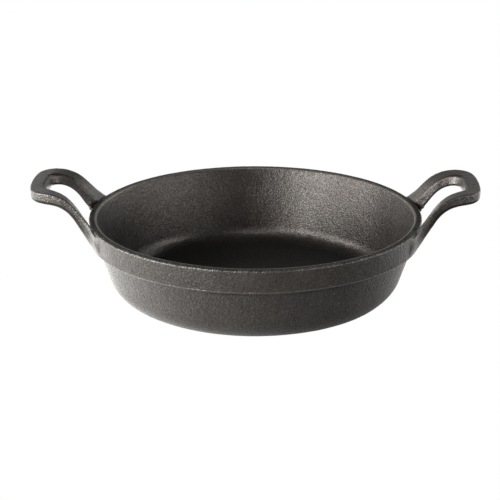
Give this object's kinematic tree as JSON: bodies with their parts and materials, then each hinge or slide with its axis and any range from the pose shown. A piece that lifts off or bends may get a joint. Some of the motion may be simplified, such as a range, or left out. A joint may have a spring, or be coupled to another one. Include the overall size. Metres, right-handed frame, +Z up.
{
  "type": "two-handled round skillet",
  "caption": "Round cast iron skillet with sloped sides, a thick rim band and two raised loop handles, for frying, baking and serving on the hob, in the oven or at table.",
  "frame": {"origin": "centre of the flat ground base, on the surface it stands on", "axes": "+X through the middle of the right loop handle, +Y across the handles towards the back, +Z up out of the open top"},
  "size_m": [0.2674, 0.2, 0.069],
  "materials": {
    "iron": "sand-cast texture, oiled and baked to a dark brown-black satin"
  },
  "bodies": {
    "root": {"pan_base": "iron", "pan_wall": "iron", "rim_band": "iron", "left_handle": "iron", "right_handle": "iron"}
  },
  "joints": []
}
